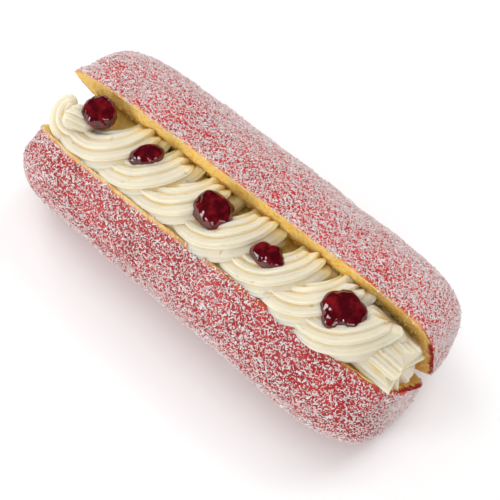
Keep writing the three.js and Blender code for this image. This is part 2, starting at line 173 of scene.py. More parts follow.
class LamingtonCream(PropertyGroup):
    """Sizes and colours of the piped cream"""
    gap: length("Gap", "Clearance to the cut faces, less than none where it clings", -0.0004)
    shell_centres: FloatVectorProperty(
        name="Shells", description="Place of each piped shell along the log", size=7, unit="LENGTH",
        default=(-0.058, -0.0415, -0.0255, -0.005, 0.016, 0.0325, 0.0475))
    shell_start: angle("Shell start", "Where a shell starts, under its left neighbour", -38)
    shell_end: angle("Shell end", "Where a shell ends, at the back", 90)
    last_shell_end: angle("Last shell end", "Where the last shell on the right ends", 81)
    shell_front_line: length("Front line", "Middle of the strand along the front lip", -0.0086)
    shell_bend: length("Bend", "Radius of a shell's arc", 0.0195)
    shell_height: length("Height", "Middle of the strand over the hinge", 0.0446)
    shell_rise: factor("Rise", "How much a shell climbs over its right neighbour", 0.22)
    shell_lift: factor("Lift", "How much the shells stand higher to the right", 0.02)
    shell_back_drop: length("Back drop", "How much a shell dips at the back", 0.007)
    shell_back_from: angle("Back drop from", "Where the dip at the back begins", 38)
    shell_start_drop: length("Start drop", "How much a shell's hidden start lies lower", 0.003)
    shell_start_taper: factor("Start taper", "Share of a shell that closes at its start", 0.14)
    shell_end_taper: factor("End taper", "Share of a shell that closes at its end", 0.05)
    strand_radius: length("Strand radius", "Nozzle size", 0.0083)
    strand_teeth: count("Teeth", "Teeth of the star nozzle", 12)
    groove_depth: factor("Groove depth", "Share of the radius", 0.14)
    ridge_lean: factor("Ridge lean", "1 is an even ridge, less is steeper on its outer side", 0.42)
    rim_overhang: length("Overhang", "How far the cream may stand out over the front lip", 0.0020)
    stria_depth: factor("Striation depth", "Fine lines along the ridges, as a share of the radius", 0.045)
    curl_centre: FloatVectorProperty(name="Curl centre", description="Along, across and over the slit",
                                     unit="LENGTH", default=(-0.0648, -0.0016, 0.0425))
    curl_bend: length("Curl bend", "Radius of the curl at the left end", 0.0038)
    curl_start: angle("Curl start", "Where the curl starts, at the front", 60)
    curl_end: angle("Curl end", "Where the curl ends in its pulled-off peak", -150)
    curl_rise: length("Curl rise", "How much the peak stands over the curl's start", 0.0080)
    curl_thin: factor("Curl thinning", "Share of the strand left at the peak", 0.5)
    curl_eye: length("Curl eye", "Smallest radius inside the curl", 0.0005)
    fold_start: FloatVectorProperty(name="Fold start", description="Along, across and over the slit",
                                    unit="LENGTH", default=(-0.0675, -0.0025, 0.051))
    fold_end: FloatVectorProperty(name="Fold end", description="Along, across and over the slit",
                                  unit="LENGTH", default=(-0.056, 0.0005, 0.046))
    fold_size: factor("Fold size", "Share of the strand's radius", 0.62)
    fold_taper: factor("Fold taper", "Share of the fold that closes at either end", 0.3)
    core_front: length("Core front", "Height of the filling at the front cut face", 0.046)
    core_back: length("Core back", "Height of the filling at the back cut face", 0.040)
    core_foot: length("Core foot", "Lowest point of the filling", 0.003)
    core_half: length("Core half length", "Middle to either end of the filling", 0.064)
    tail_start: length("Tail start", "Start of the strand at the right end", 0.050)
    tail_end: length("Tail end", "End of the strand at the right end", 0.081)
    tail_across: length("Tail across", "Place of the tail's start across the slit", -0.0012)
    tail_drift: length("Tail drift", "How much the tail bears to the front", 0.0020)
    tail_height: length("Tail height", "Middle of the tail over the hinge", 0.0405)
    tail_fall: length("Tail fall", "How much the tail sinks to its end", 0.003)
    tail_size: factor("Tail size", "Share of the strand's radius", 1.3)
    tail_taper: factor("Tail taper", "Share of the tail that closes at its start", 0.09)
    tail_fingers: count("Tail fingers", "Blunt points round the tail's end", 6)
    tail_point: length("Tail points", "How far the fingers reach past the gaps between them", 0.0028)
    tail_tip: factor("Tail tip", "Share of the radius at the end", 0.92)
    ivory: colour("Ivory", "Whipped cream", (0.725, 0.66, 0.515))
    # Painted shade: yellower, darker cream in the grooves and hollows
    groove_shade_colour: colour("Butter", "Cream in the grooves", (0.80, 0.60, 0.22))
    # Painted shade: golden cream deep in the slit and under the lid, its darker mottle, and the heights it
    # spans
    slit_shade_gold: colour("Honey", "Cream deep in the slit, stained by the sponge", (0.95, 0.73, 0.15))
    slit_shade_dark: colour("Dark honey", "Pores of the stained cream", (0.92, 0.54, 0.03))
    slit_shade_from: length("Honey from", "Height over the hinge where the stain begins", 0.048)
    slit_shade_full: length("Honey full", "Height over the hinge where the stain is full", 0.038)


class LamingtonJam(PropertyGroup):
    """Relief and colours of the jam dots"""
    lobe_width: angle("Lobe width", "Spread of a lobe round a dot", 26)
    fruit_height: length("Fruit height", "Height of the fruit pieces and seeds", 0.0005)
    dark_red: colour("Dark red", "Most of the jam", (0.062, 0.002, 0.005))
    bright_red: colour("Bright red", "Streaks in the jam", (0.22, 0.007, 0.011))


class LamingtonStage(PropertyGroup):
    """Camera, floor and lights"""
    azimuth: angle("Azimuth", "Turn of the camera to the right of the front", 41.59)
    elevation: angle("Elevation", "Camera above the horizon", 59.58)
    distance: length("Distance", "Camera to the middle of the log", 0.53927)
    middle: FloatVectorProperty(name="Middle", description="Point that the distance is measured from",
                                unit="LENGTH", default=(0.000265, 0.0015, 0.0238))
    aim: FloatVectorProperty(name="Aim", description="Slope of the view to the right and up", size=2,
                             default=(0.00837, -0.00722))
    lens: factor("Lens", "Focal length in millimetres", 111.13)
    floor_size: length("Floor", "Side of the floor", 4.0)
    floor_colour: colour("Floor colour", "Plain pale floor", (0.97, 0.97, 0.97))
    sky_strength: factor("Sky", "Even light from all sides", 0.46)
    right_power: factor("Front right", "Watts of the light at the front right", 2.2)
    left_power: factor("Front left", "Watts of the light at the front left", 5.0)
    top_power: factor("Overhead", "Watts of the fill light overhead", 2.8)
    side_power: factor("Side fill", "Watts of the fill light at the left end", 3.5)
    back_power: factor("Back fill", "Watts of the fill light behind", 4.4)


# Arrays and meshes

def smoothstep(value, low, high):
    """Rises from 0 at low to 1 at high, level at both ends."""
    part = np.clip((value - low) / (high - low), 0, 1)
    return part * part * (3 - 2 * part)


def lattice_noise(points, cell, seed):
    """Smooth noise from -1 to 1: random values at a cubic lattice's corners, blended inside each cell."""
    side = 32
    table = np.random.default_rng(seed).uniform(-1, 1, (side, side, side))
    scaled = points / cell
    low = np.floor(scaled).astype(int)
    part = scaled - low
    part = part * part * (3 - 2 * part)
    total = np.zeros(points.shape[:-1])
    for corner in np.ndindex(2, 2, 2):
        index = (low + corner) % side
        weight = np.where(corner, part, 1 - part).prod(axis=-1)
        total += weight * table[index[..., 0], index[..., 1], index[..., 2]]
    return total


def layered_noise(points, layers):
    """Sum of smooth noises, each layer given as its amount, cell and seed."""
    return sum(amount * lattice_noise(points, cell, seed) for amount, cell, seed in layers)


def unit(vectors):
    """Vectors of the same directions, one long."""
    return vectors / np.linalg.norm(vectors, axis=-1, keepdims=True)


def grid_quads(rows, columns, closed=False):
    """Quads of a grid numbered row by row; a closed grid joins its last column to its first."""
    across = np.arange(columns if closed else columns - 1)
    first = np.arange(rows - 1)[:, None] * columns
    here, beside = first + across, first + (across + 1) % columns
    return np.stack([here, beside, beside + columns, here + columns], axis=-1).reshape(-1, 4)


def mesh_from(name, points, faces):
    """Mesh of the points and their faces, which all have as many corners."""
    mesh = bpy.data.meshes.new(name)
    mesh.vertices.add(len(points))
    mesh.vertices.foreach_set("co", np.ascontiguousarray(points, dtype=np.float32).ravel())
    mesh.loops.add(faces.size)
    mesh.loops.foreach_set("vertex_index", np.ascontiguousarray(faces, dtype=np.int32).ravel())
    mesh.polygons.add(len(faces))
    mesh.polygons.foreach_set("loop_start", np.arange(0, faces.size, faces.shape[1], dtype=np.int32))
    mesh.update(calc_edges=True)
    mesh.validate()
    return mesh


def store(mesh, name, values):
    """Keeps one number for each point of the mesh."""
    attribute = mesh.attributes.new(name, "FLOAT", "POINT")
    attribute.data.foreach_set("value", np.ascontiguousarray(values, dtype=np.float32).ravel())


def values_of(items, name, width=1, kind=np.float32):
    """One value for each of a mesh's items, or a row of them where the width is more than one."""
    values = np.empty(width * len(items), dtype=kind)
    items.foreach_get(name, values)
    return values if width == 1 else values.reshape(-1, width)


def stored(mesh, name):
    """The number kept for each point."""
    return values_of(mesh.attributes[name].data, "value").astype(float)


def point_array(mesh):
    """Places of the mesh's points."""
    return values_of(mesh.vertices, "co", width=3).astype(float)


def normal_array(mesh):
    """Normals at the mesh's points."""
    return values_of(mesh.vertex_normals, "vector", width=3).astype(float)


def move_points(mesh, points):
    """Gives the mesh's points new places."""
    mesh.vertices.foreach_set("co", np.ascontiguousarray(points, dtype=np.float32).ravel())
    mesh.update()


def weld(mesh, distance=1e-7):
    """Joins the points that lie on each other, so that seams and poles close."""
    edit = bmesh.new()
    edit.from_mesh(mesh)
    bmesh.ops.remove_doubles(edit, verts=edit.verts, dist=distance)
    bmesh.ops.recalc_face_normals(edit, faces=edit.faces)
    edit.to_mesh(mesh)
    edit.free()


def add_piece(name, mesh, materials, slot, *nodes, smooth=True):
    """Object at the origin that rides on the cake and stands for the given nodes; the slot is not used."""
    if not mesh.polygons:
        raise RuntimeError(f"{name} has no faces")
    mesh.polygons.foreach_set("use_smooth", np.full(len(mesh.polygons), smooth))
    for material in materials:
        mesh.materials.append(material)
    piece = bpy.data.objects.new(name, mesh)
    bpy.context.scene.collection.objects.link(piece)
    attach(piece, "root")
    if nodes:
        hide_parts(*nodes)
    return piece


# Form of the slit log

class LogForm:
    """Formulas of the slit log. Arrays of any shape go in, and points in metres come out."""

    # Shares of the half turn, of the reach and of the cut face between which the left end is rounded off
    front_round = (0.26, 0)
    back_round_top = (0, 0.1)
    back_round_side = (0.6, 0.4)
    rounded_reach = (0, 0.8)
    rounded_cut = (0.75, 1)

    def __init__(self, log):
        self.log = log
        self.mouth_angle = math.pi / 2 + log.slit_lean
        self.mouth = np.array([-math.sin(log.slit_lean), math.cos(log.slit_lean)])
        self.mouth_radius = self.section_radius(self.mouth_angle)
        self.foot_radius = self.section_radius(self.mouth_angle + math.pi)
        self.hinge = np.array([0, log.centre_height]) - self.mouth * self.foot_radius * log.hinge_depth
        power = log.end_power_hinge
        self.hinge_end = log.half_length * (1 - log.hinge_depth ** power) ** (1 / power)
        self.half_angle = (log.open_front + log.open_back) / 2
        cut_length = self.foot_radius * log.hinge_depth + self.mouth_radius
        self.lip_height = cut_length * math.cos(self.half_angle)
        middle_lean = log.slit_lean - (log.open_back - log.open_front) / 2
        self.up_slit = np.array([-math.sin(middle_lean), math.cos(middle_lean)])
        self.across_slit = np.array([self.up_slit[1], -self.up_slit[0]])

    def section_radius(self, phi):
        """Radius of the closed log's rounded section in the direction phi, from +Y towards +Z."""
        log = self.log
        width = np.where(np.cos(phi) < 0, log.front_half_width, log.back_half_width)
        total = (np.abs(np.cos(phi)) / width) ** log.section_power
        total = total + np.abs(np.sin(phi) / log.centre_height) ** log.section_power
        return total ** (-1 / log.section_power)

    def reach(self, x, share, side=BACK):
        """How far the log still reaches at x: 1 in the middle, 0 at the ends, squarer low on the sides.

        The share of the half turn is 0 at the slit's lip and 1 at the underside.
        """
        log = self.log
        low = 0.5 - 0.5 * np.cos(share * math.pi)
        at_hinge = smoothstep(share, log.hinge_rounding, 1)
        if side == FRONT:
            bottom = np.where(x < 0, log.end_power_left, log.end_power_bottom)
        else:
            bottom = np.where(x > 0, log.end_power_right, log.end_power_bottom)
        power = log.end_power_top + (bottom - log.end_power_top) * low
        power = power - (bottom - log.end_power_hinge) * at_hinge
        return np.maximum(0, 1 - np.abs(x / log.half_length) ** power) ** (1 / power)

    def drawn_in(self, x, from_axis):
        """Draws the left end in, most at the log's axis, so that it is hollow, and trims the right end."""
        log = self.log
        near_left = smoothstep(-x, log.drawn_in_from, log.half_length)
        near_right = smoothstep(x, log.drawn_in_from, log.half_length)
        hollow = log.drawn_in_depth * smoothstep(from_axis, log.drawn_in_outer, log.drawn_in_inner)
        return x + hollow * near_left - log.right_trim * near_right

    def left_round(self, x, share, side):
        """How far the left end is rounded off: at the front half's lip, and high on the back half."""
        log = self.log
        near_left = smoothstep(-x, log.drawn_in_from, log.half_length)
        near_left = near_left * smoothstep(self.reach(x, share, side), *self.rounded_reach)
        if side == FRONT:
            return log.left_front_round * near_left * smoothstep(share, *self.front_round)
        below_lip = smoothstep(share, *self.back_round_top)
        return log.left_back_round * near_left * below_lip * smoothstep(share, *self.back_round_side)

    def opened(self, x, y, z, side):
        """Turns points of the closed log about the hinge: the slit opens and the underside stays."""
        from_y, from_z = y - self.hinge[0], z - self.hinge[1]
        radius = np.hypot(from_y, from_z)
        turned_by = np.arctan2(self.mouth[0] * from_z - self.mouth[1] * from_y,
                               self.mouth[0] * from_y + self.mouth[1] * from_z)
        opening = self.log.open_front if side == FRONT else self.log.open_back
        turn = side * (opening + np.abs(turned_by) * (1 - opening / math.pi))
        new_y = self.hinge[0] + radius * (self.mouth[0] * np.cos(turn) - self.mouth[1] * np.sin(turn))
        new_z = self.hinge[1] + radius * (self.mouth[1] * np.cos(turn) + self.mouth[0] * np.sin(turn))
        resting = np.maximum(new_z - self.log.resting_flat, 0)
        shift = self.log.box_shift
        return np.stack(np.broadcast_arrays(x + shift[0], new_y + shift[1], resting), axis=-1)

    def skin(self, x, share, side):
        """Coated skin at x, turned by share round one half: 0 at the slit's lip, 1 at the underside."""
        log = self.log
        phi = self.mouth_angle + side * share * math.pi
        from_axis = self.reach(x, share, side)
        radius = from_axis * self.section_radius(phi)
        z = log.centre_height + radius * np.sin(phi)
        plane_y = -(z - log.centre_height) * math.tan(log.slit_lean)
        taper = 1 + (log.front_taper if side == FRONT else log.back_taper) * x / log.half_length
        y = plane_y + (radius * np.cos(phi) - plane_y) * taper
        return self.opened(self.drawn_in(x, from_axis) + self.left_round(x, share, side), y, z, side)

    def cut(self, x, share, side):
        """Cut face at x: straight from the hinge, or past its end the underside's edge, up to the lip."""
        depth = np.where(np.abs(x) < self.hinge_end, self.log.hinge_depth, self.reach(x, 1.0))
        lowest, highest = -depth * self.foot_radius, self.reach(x, 0.0) * self.mouth_radius
        up = lowest + (highest - lowest) * share
        from_axis = np.where(up < 0, -up / self.foot_radius, up / self.mouth_radius)
        at_lip = self.left_round(x, 0.0, side) * smoothstep(share, *self.rounded_cut)
        return self.opened(self.drawn_in(x, from_axis) + at_lip, self.mouth[0] * up,
                           self.log.centre_height + self.mouth[1] * up, side)

    def in_slit(self, along, across, height):
        """Point of the open slit from its place along, across the middle plane and over the hinge."""
        shift = self.log.box_shift
        y = self.hinge[0] + self.up_slit[0] * height + self.across_slit[0] * across + shift[1]
        z = self.hinge[1] + self.up_slit[1] * height + self.across_slit[1] * across - self.log.resting_flat
        return np.stack(np.broadcast_arrays(along + shift[0], y, z), axis=-1)

    def slit_place(self, points):
        """Place across the open slit's middle plane and height over the hinge."""
        log = self.log
        hinge = np.array([log.box_shift[1] + self.hinge[0], self.hinge[1] - log.resting_flat])
        from_hinge = points[..., 1:] - hinge
        return from_hinge @ self.across_slit, from_hinge @ self.up_slit

    def stations(self, middle_steps, end_steps):
        """Places along the log: even in the middle, closer over the rounded ends, one at each hinge end."""
        power = 3
        shoulder = math.pi / 6
        hinge_turn = math.asin((self.hinge_end / self.log.half_length) ** power)
        turns = np.concatenate([
            np.linspace(shoulder, hinge_turn, end_steps, endpoint=False),
            np.linspace(hinge_turn, math.pi / 2, end_steps + 1),
        ])
        right = self.log.half_length * np.sin(turns) ** (1 / power)
        right[end_steps] = self.hinge_end
        middle = np.linspace(-right[0], right[0], middle_steps + 1)[1:-1]
        return np.concatenate([-right[::-1], middle, right])


# Materials

def new_material(name):
    """Material with its node tree and its shader."""
    material = bpy.data.materials.new(name)
    material.use_nodes = True
    return material, material.node_tree, material.node_tree.nodes["Principled BSDF"]


def object_noise(tree, scale, detail=3.0, roughness=0.55):
    """Noise pattern on the piece's own coordinates."""
    place = tree.nodes.get("Texture Coordinate") or tree.nodes.new("ShaderNodeTexCoord")
    noise = tree.nodes.new("ShaderNodeTexNoise")
    noise.inputs["Scale"].default_value = scale
    noise.inputs["Detail"].default_value = detail
    noise.inputs["Roughness"].default_value = roughness
    tree.links.new(place.outputs["Object"], noise.inputs["Vector"])
    return noise.outputs["Fac"]


def ramp(tree, source, low, high, bottom=0.0, top=1.0):
    """Carries the range low to high over to bottom to top."""
    node = tree.nodes.new("ShaderNodeMapRange")
    node.inputs["From Min"].default_value = low
    node.inputs["From Max"].default_value = high
    node.inputs["To Min"].default_value = bottom
    node.inputs["To Max"].default_value = top
    tree.links.new(source, node.inputs["Value"])
    return node.outputs["Result"]


def blend(tree, share, first, second):
    """Mixes two colours, each a fixed one or another node's output."""
    node = tree.nodes.new("ShaderNodeMix")
    node.data_type = "RGBA"
    tree.links.new(share, node.inputs["Factor"])
    colour_inputs = [socket for socket in node.inputs if socket.type == "RGBA"]
    for socket, value in zip(colour_inputs, (first, second)):
        if isinstance(value, bpy.types.NodeSocket):
            tree.links.new(value, socket)
        else:
            socket.default_value = (*value, 1.0)
    return next(socket for socket in node.outputs if socket.type == "RGBA")


def bump(tree, shader, height, strength, distance):
    """Fine relief of the shader from a height pattern."""
    node = tree.nodes.new("ShaderNodeBump")
    node.inputs["Strength"].default_value = strength
    node.inputs["Distance"].default_value = distance
    tree.links.new(height, node.inputs["Height"])
    tree.links.new(node.outputs["Normal"], shader.inputs["Normal"])


def attribute(tree, name):
    """The number kept for each point, as a node's output."""
    node = tree.nodes.new("ShaderNodeAttribute")
    node.attribute_name = name
    return node.outputs["Fac"]


def syrup_material(log):
    """Wet red coating: soaked in patches and darker on the front half as painted shade, thin and orange along
    the lips, with a strip worn off there.
    """
    material, tree, shader = new_material("syrup_coating")
    # Deeper red in soaked patches, and on the front half as painted shade
    red = blend(tree, attribute(tree, "soaked"), tuple(log.syrup_red), tuple(log.syrup_deep))
    thin = ramp(tree, attribute(tree, "lip"), low=0.0003, high=0.0028, bottom=0.7, top=0.0)
    coated = blend(tree, thin, red, tuple(log.syrup_orange))
    tree.links.new(blend(tree, attribute(tree, "bare"), coated, tuple(log.crumb_gold)),
                   shader.inputs["Base Color"])
    shader.inputs["Roughness"].default_value = 0.42
    shader.inputs["Specular IOR Level"].default_value = 0.3
    bump(tree, shader, object_noise(tree, scale=900), strength=0.5, distance=0.0004)
    return material


def crumb_material(log):
    """Open yellow sponge: pale crumb, darker pores, deeper orange-yellow in the slit as painted shade, red at
    the ends' edges.
    """
    material, tree, shader = new_material("sponge_crumb")
    grain = object_noise(tree, scale=850, detail=4.0, roughness=0.65)
    pores = ramp(tree, grain, low=0.38, high=0.52)
    crumb = blend(tree, pores, tuple(log.crumb_shade), tuple(log.crumb_gold))
    # Painted shade deep in the slit
    crumb = blend(tree, attribute(tree, "deep"), crumb, tuple(log.crumb_slit_shade))
    tree.links.new(blend(tree, attribute(tree, "near_end"), crumb, tuple(log.syrup_deep)),
                   shader.inputs["Base Color"])
    shader.inputs["Roughness"].default_value = 0.85
    shader.inputs["Subsurface Weight"].default_value = 0.5
    shader.inputs["Subsurface Radius"].default_value = (1.0, 0.6, 0.2)
    shader.inputs["Subsurface Scale"].default_value = 0.005
    bump(tree, shader, grain, strength=0.9, distance=0.0007)
    return material


def coconut_material(coconut):
    """Dry white coconut, some of it stained by the syrup."""
    material, tree, shader = new_material("desiccated_coconut")
    tree.links.new(blend(tree, attribute(tree, "stain"), tuple(coconut.white), tuple(coconut.pink)),
                   shader.inputs["Base Color"])
    shader.inputs["Roughness"].default_value = 0.5
    return material


def cream_material(cream):
    """Whipped cream: ivory ridges, painted shade in the grooves, painted golden shade deep in the slit, a
    soft sheen.
    """
    material, tree, shader = new_material("whipped_cream")
    # Painted shade in the grooves and hollows
    groove = ramp(tree, attribute(tree, "hollow"), low=0.1, high=0.75, bottom=0.0, top=0.85)
    colour_now = blend(tree, groove, tuple(cream.ivory), tuple(cream.groove_shade_colour))
    # Painted golden shade deep in the slit, mottled
    pores = ramp(tree, object_noise(tree, scale=600, detail=4.0, roughness=0.6), low=0.4, high=0.62)
    stain = blend(tree, pores, tuple(cream.slit_shade_dark), tuple(cream.slit_shade_gold))
    colour_now = blend(tree, attribute(tree, "depth"), colour_now, stain)
    tree.links.new(colour_now, shader.inputs["Base Color"])
    shader.inputs["Roughness"].default_value = 0.5
    shader.inputs["Subsurface Weight"].default_value = 0.8
    shader.inputs["Subsurface Radius"].default_value = (1.0, 0.85, 0.45)
    shader.inputs["Subsurface Scale"].default_value = 0.0045
    bump(tree, shader, object_noise(tree, scale=1100), strength=0.15, distance=0.0003)
    return material


def jam_material(jam):
    """Glossy dark jam with brighter red streaks."""
    material, tree, shader = new_material("red_jam")
    streaks = ramp(tree, object_noise(tree, scale=320, detail=4.0), low=0.45, high=0.75)
    tree.links.new(blend(tree, streaks, tuple(jam.dark_red), tuple(jam.bright_red)),
                   shader.inputs["Base Color"])
    shader.inputs["Roughness"].default_value = 0.10
    shader.inputs["Specular IOR Level"].default_value = 0.7
    return material


def floor_material(stage):
    """Matt pale floor with a very faint mottle."""
    material, tree, shader = new_material("pale_floor")
    faint = ramp(tree, object_noise(tree, scale=3), low=0.3, high=0.7, bottom=0.0, top=0.02)
    tree.links.new(blend(tree, faint, tuple(stage.floor_colour), (1.0, 1.0, 1.0)),
                   shader.inputs["Base Color"])
    shader.inputs["Roughness"].default_value = 0.8
    return material


# Sponge

# Layers of noise, each with its amount, cell and seed
COATING_LUMPS = ((1.0, 0.014, 1), (0.6, 0.006, 2), (0.35, 0.0026, 8))
LIP_FRAY = ((0.5, 0.0021, 3),)
LIP_WEAR = ((0.0007, 0.0021, 9),)
EDGE_WAVER = ((0.0009, 0.0016, 10),)
SYRUP_PATCHES = ((1.0, 0.009, 6), (0.6, 0.004, 7))


def coated_edge(log, x, points):
    """Nearness to the coated edge of an end, from 0 to 1: the edge is uneven, and wider at the right."""
    x = x + layered_noise(points, EDGE_WAVER)
    at_left = smoothstep(log.half_length + x, 0.0022, 0.0008)
    at_right = smoothstep(log.half_length - x, 0.0028, 0.0012)
    return at_left + at_right


def log_grids(form):
    """Points, slot, distance to the lip and coated edge of the four grids of the log's surface."""
    crowding_at_lip = 1.8
    along = form.stations(middle_steps=222, end_steps=26)
    around = np.linspace(0, 1, num=97)
    up_cut = 1 - np.linspace(1, 0, num=57) ** crowding_at_lip
    half_turn = math.pi * form.log.centre_height
    cut_height = form.log.centre_height * (1 + form.log.hinge_depth)
    for side in (FRONT, BACK):
        x, share = np.meshgrid(along, around, indexing="ij")
        points = form.skin(x, share, side)
        yield points, SKIN_SLOT, share * half_turn, coated_edge(form.log, x, points)
        x, share = np.meshgrid(along, up_cut, indexing="ij")
        points = form.cut(x, share, side)
        yield points, CRUMB_SLOT, (1 - share) * cut_height, coated_edge(form.log, x, points)


def log_mesh(form):
    """The four grids in one welded mesh, with their slots, distances to the lip and coated edges."""
    points, quads, slots, lips, edges = [], [], [], [], []
    total = 0
    for grid, slot, lip, edge in log_grids(form):
        quads.append(grid_quads(*grid.shape[:2]) + total)
        points.append(grid.reshape(-1, 3))
        lips.append(lip.ravel())
        edges.append(edge.ravel())
        slots.append(np.full(len(quads[-1]), slot, dtype=np.int32))
        total += len(points[-1])
    mesh = mesh_from(SPONGE_PIECE, np.concatenate(points), np.concatenate(quads))
    store(mesh, "lip", np.concatenate(lips))
    store(mesh, "near_end", np.concatenate(edges))
    mesh.polygons.foreach_set("material_index", np.concatenate(slots))
    weld(mesh)
    return mesh


def crumb_share(mesh):
    """1 at the points that only cut faces meet, and 0 at the rest."""
    corners = values_of(mesh.loops, "vertex_index", kind=np.int32)
    sizes = values_of(mesh.polygons, "loop_total", kind=np.int32)
    slots = values_of(mesh.polygons, "material_index", kind=np.int32)
    crumb = np.ones(len(mesh.vertices))
    np.minimum.at(crumb, corners, np.repeat(slots, sizes))
    return crumb


def soaked_and_front_shade_share(points):
    """Share of deeper red, from 0 to 1: soaked in patches, and more on the front half as painted shade."""
    everywhere, front_shade_amount, patchiness = 0.15, 0.65, 0.3
    in_front = smoothstep(-points[:, 1], -0.002, 0.018)
    patches = layered_noise(points, SYRUP_PATCHES)
    return np.clip(everywhere + front_shade_amount * in_front + patchiness * patches, 0, 1)


def bare_share(form, points, lip):
    """How far the coating is worn off the lips, from 0 to 1: in an uneven strip, narrower on the lid.

    On the front half the strip fades out to the right.
    """
    most, narrower_on_lid = 0.9, 0.0006
    across, _ = form.slit_place(points)
    from_lip = lip + layered_noise(points, LIP_WEAR) + narrower_on_lid * (across > 0)
    in_strip = smoothstep(from_lip, 0.0019, 0.0007)
    off_ends = smoothstep(np.abs(points[:, 0]), 0.079, 0.074)
    to_left = smoothstep(points[:, 0], 0.03, -0.03)
    return most * (in_strip * off_ends) * np.where(across < 0, to_left, 1)


def crumb_slit_shade_share(points, lip):
    """Share of painted shade on the crumb, from 0 at the lips to 1 deep in the slit, and 0 at the ends."""
    below_lip = smoothstep(lip, 0.005, 0.011)
    off_ends = smoothstep(np.abs(points[:, 0]), 0.074, 0.06)
    return below_lip * off_ends


def coating_relief(log, points, lip):
    """How far the coating stands out: low lumps, and lips that fray most at the right end.

    Away from the lips it lies a little lower, which leaves room for the coconut, and at the floor it is flat.
    """
    near_lip = smoothstep(lip, 0.004, 0)
    at_right_end = smoothstep(points[:, 0], 0.064, 0.077)
    off_lip = smoothstep(lip, 0.001, 0.008)
    off_floor = smoothstep(points[:, 2], 0, 0.003)
    fray = layered_noise(points, LIP_FRAY) * near_lip * (1 + log.torn_end * at_right_end)
    lumps = layered_noise(points, COATING_LUMPS)
    return (log.lump_height * (lumps + fray) - log.coconut_room * off_lip) * off_floor


def crumb_relief(log, points, normals, lip):
    """How far the cut sponge stands out: pores, deeper where it is torn, and a slight swell on the lid."""
    fine_share, level = 0.6, 0.5
    coarse = np.abs(lattice_noise(points, cell=0.0017, seed=4))
    fine = np.abs(lattice_noise(points, cell=0.0009, seed=5))
    pores = coarse + fine_share * fine - level
    cleanly_cut, torn_more = 0.7, 0.6
    torn = cleanly_cut + torn_more * smoothstep(lip, 0.006, 0.011)
    off_lip = smoothstep(lip, 0, 0.0012)
    off_hinge = smoothstep(points[:, 2], 0.006, 0.02)
    below_lip = smoothstep(lip, 0, 0.005)
    over_middle = smoothstep(lip, 0.018, 0.007)
    facing_front = smoothstep(-normals[:, 1], 0, 0.5)
    off_ends = smoothstep(np.abs(points[:, 0]), 0.07, 0.045)
    swell = log.crumb_bulge * (below_lip * over_middle * facing_front) * off_ends
    return log.crumb_depth * pores * torn * off_lip * off_hinge + swell


def roughen_log(mesh, log):
    """Moves each point along its normal by the relief of the coating or of the cut sponge."""
    points, normals, lip = point_array(mesh), normal_array(mesh), stored(mesh, "lip")
    in_crumb = stored(mesh, "crumb") == 1
    relief = np.where(in_crumb, crumb_relief(log, points, normals, lip), coating_relief(log, points, lip))
    moved = points + normals * relief[:, None]
    moved[:, 2] = np.maximum(moved[:, 2], log.coconut_bed)
    move_points(mesh, moved)


class LAMINGTON_OT_sponge(Operator):
    """Slit sponge log with its wet red coating and its cut faces"""
    bl_idname = "lamington.sponge"
    bl_label = "Sponge Log"

    def execute(self, context):
        log = context.scene.lamington_log
        form = LogForm(log)
        mesh = log_mesh(form)
        points, lip = point_array(mesh), stored(mesh, "lip")
        store(mesh, "crumb", crumb_share(mesh))
        # Soaked patches, and painted shade on the front half
        store(mesh, "soaked", soaked_and_front_shade_share(points))
        store(mesh, "bare", bare_share(form, points, lip))
        # Painted shade on the crumb deep in the slit
        store(mesh, "deep", crumb_slit_shade_share(points, lip))
        roughen_log(mesh, log)
        add_piece(SPONGE_PIECE, mesh, [syrup_material(log), crumb_material(log)], "coated_sponge", "sponge")
        return {"FINISHED"}


# Coconut and crumbs

COCONUT_PATCHES = ((1.0, 0.011, 21), (0.6, 0.005, 22))
# Shares of the middle length, width and thickness between which a sliver's sizes lie
SLIVER_SPREADS = ((0.6, 1.35), (0.65, 1.3), (0.7, 1.3))


class SkinSampler:
    """Seeded random places on one slot of the sponge log, by area and weight."""

    def __init__(self, mesh, slot):
        mesh.calc_loop_triangles()
        triangles = mesh.loop_triangles
        on_slot = values_of(triangles, "material_index", kind=np.int32) == slot
        self.corners = values_of(triangles, "vertices", width=3, kind=np.int32)[on_slot]
        self.area = values_of(triangles, "area")[on_slot].astype(float)
        self.points = point_array(mesh)
        self.normals = normal_array(mesh)
        self.middles = self.points[self.corners].mean(axis=1)
        self.lips = stored(mesh, "lip")[self.corners].mean(axis=1)

    def places(self, number, weight, rng):
        """Points and normals of the given number of places, spread evenly by area times weight."""
        share = self.area * weight
        reached = np.cumsum(share) / share.sum()
        chosen = np.searchsorted(reached, (np.arange(number) + rng.random(number)) / number)
        first, second = np.sqrt(rng.random(number)), rng.random(number)
        mix = np.stack([1 - first, first * (1 - second), first * second], axis=-1)[..., None]
        corners = self.corners[chosen]
        normals = unit((self.normals[corners] * mix).sum(axis=1))
        return (self.points[corners] * mix).sum(axis=1), normals


def strip_shape(rings):
    """Unit strip along X: square sections at even steps, closed at both ends."""
    along = np.repeat(np.linspace(-0.5, 0.5, rings), 4)
    across = np.tile([-0.5, 0.5, 0.5, -0.5], rings)
    over = np.tile([-0.5, -0.5, 0.5, 0.5], rings)
    sides = grid_quads(rings, 4, closed=True)[:, ::-1]
    caps = np.array([[0, 1, 2, 3], [4 * rings - 1, 4 * rings - 2, 4 * rings - 3, 4 * rings - 4]])
    return np.stack([along, across, over], axis=-1), np.concatenate([sides, caps[:, ::-1]])


def prism_shape():
    """Unit three-sided grain along X, of triangles only."""
    along = np.repeat([-0.5, 0.5], 3)
    across = np.tile([-0.5, 0.5, 0.0], 2)
    over = np.tile([-0.5, -0.5, 0.5], 2)
    faces = [[0, 2, 1], [3, 4, 5], [0, 1, 4], [0, 4, 3], [1, 2, 5], [1, 5, 4], [2, 0, 3], [2, 3, 5]]
    return np.stack([along, across, over], axis=-1), np.array(faces)


